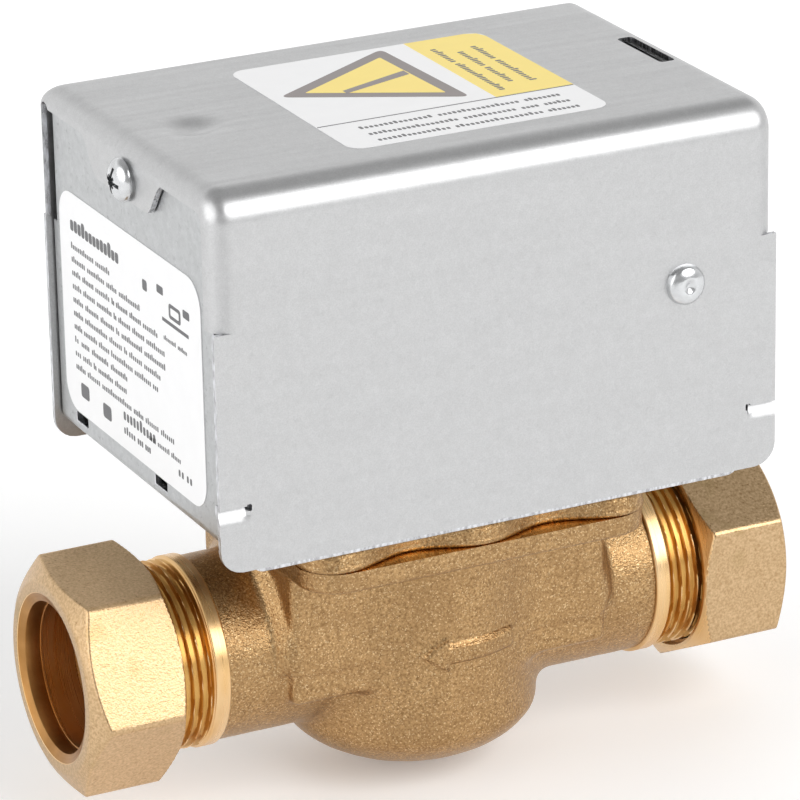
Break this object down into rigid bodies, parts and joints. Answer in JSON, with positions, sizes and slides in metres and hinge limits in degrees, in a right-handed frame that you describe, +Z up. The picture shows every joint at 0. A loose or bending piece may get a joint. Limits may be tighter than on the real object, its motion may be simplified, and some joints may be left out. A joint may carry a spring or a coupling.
{
  "type": "motorised zone valve",
  "caption": "Two-port motorised zone valve with a cast brass body, compression ends, a spring-return actuator and a bent sheet-metal case.",
  "frame": {"origin": "centre of port A's mouth, on the pipe's axis, at the outer face of the left nut", "axes": "+X along the pipe from port A to port B, +Y towards the back, +Z up the valve's stem towards the head"},
  "size_m": [0.1128, 0.0612, 0.1011],
  "materials": {
    "cast_brass": "rough cast, machined at the ends",
    "nut_brass": "forged, turned faces",
    "turned_brass": "turned",
    "galvanised": "galvanised sheet with a fine spangle",
    "plate_steel": "zinc plated",
    "screw_steel": "bright plated",
    "spring_steel": "bright wire",
    "seal_rubber": "matt",
    "grommet_rubber": "matt",
    "label_silver": "satin film",
    "gear_nylon": "moulded",
    "pinion_steel": "hobbed",
    "motor_steel": "drawn, plated",
    "coil_tape": "wound and taped",
    "switch_plastic": "moulded",
    "plunger_plastic": "moulded",
    "knob_plastic": "moulded",
    "terminal_metal": "tinned"
  },
  "bodies": {
    "valve": {"valve_body": "cast_brass", "bonnet_seal": "seal_rubber", "bonnet_plate": "cast_brass", "bonnet_screws": "screw_steel", "left_olive": "turned_brass", "right_olive": "turned_brass", "base_plate": "galvanised", "head_screws": "screw_steel", "plate_pillars": "plate_steel", "motor_plate": "plate_steel", "pillar_screws": "screw_steel", "motor_can": "motor_steel", "motor_coil": "coil_tape", "motor_cap": "motor_steel", "motor_screws": "screw_steel", "pinion_bush": "turned_brass", "return_spring": "spring_steel", "spring_post": "plate_steel", "lever_pivot": "plate_steel", "pivot_clip": "screw_steel", "switch_body": "switch_plastic", "switch_terminals": "terminal_metal", "switch_screws": "screw_steel", "cable_grommet": "grommet_rubber", "earth_screw": "screw_steel", "earth_tag": "terminal_metal", "end_label": "label_silver"},
    "stem": {"valve_stem": "turned_brass", "stem_o_rings": "seal_rubber", "stem_clip": "screw_steel", "paddle_arm": "turned_brass", "ball_plug": "seal_rubber", "sector_gear": "gear_nylon"},
    "pinion": {"motor_pinion": "pinion_steel"},
    "lever": {"manual_lever": "plate_steel", "lever_knob": "knob_plastic"},
    "plunger": {"switch_plunger": "plunger_plastic"},
    "case": {"cover": "galvanised", "cover_nut": "screw_steel", "cover_stud": "screw_steel", "top_label": "label_silver"},
    "case_screw": {"cover_screw": "screw_steel"},
    "left_nut": {"left_nut": "nut_brass"},
    "right_nut": {"right_nut": "nut_brass"}
  },
  "joints": [
    {"name": "stem_turn", "type": "hinge", "parent": "valve", "child": "stem", "pos_m": [0.0597, 0.0085, 0], "axis": [0, 0, -1], "range_deg": [0, 38], "stiffness_Nm_per_rad": 0.08, "springref_deg": -28.65, "deforming": ["return_spring"]},
    {"name": "pinion_turn", "type": "hinge", "parent": "valve", "child": "pinion", "pos_m": [0.03933, -0.01187, 0], "axis": [0, 0, 1], "range_deg": [0, 158]},
    {"name": "lever_swing", "type": "hinge", "parent": "valve", "child": "lever", "pos_m": [0.0897, 0.0085, 0], "axis": [0, 0, 1], "range_deg": [0, 24]},
    {"name": "plunger_press", "type": "slide", "parent": "valve", "child": "plunger", "axis": [0, -1, 0], "range_m": [0, 0.0008], "stiffness_N_per_m": 300, "springref_m": -0.002},
    {"name": "case_lift", "type": "slide", "parent": "valve", "child": "case", "axis": [0, 0, 1], "range_m": [0, 0.06]},
    {"name": "case_screw_turn", "type": "hinge", "parent": "case", "child": "case_screw", "pos_m": [0.0134, -0.001, 0.0729], "axis": [-1, 0, 0], "continuous": true},
    {"name": "left_nut_turn", "type": "hinge", "parent": "valve", "child": "left_nut", "pos_m": [0, 0, 0], "axis": [-1, 0, 0], "continuous": true},
    {"name": "right_nut_turn", "type": "hinge", "parent": "valve", "child": "right_nut", "pos_m": [0.1114, 0, 0], "axis": [1, 0, 0], "continuous": true}
  ],
  "couplings": [
    {"joint": "pinion_turn", "follows": "stem_turn", "ratio": 4.1429},
    {"joint": "lever_swing", "follows": "stem_turn", "ratio": 0.62316}
  ]
}
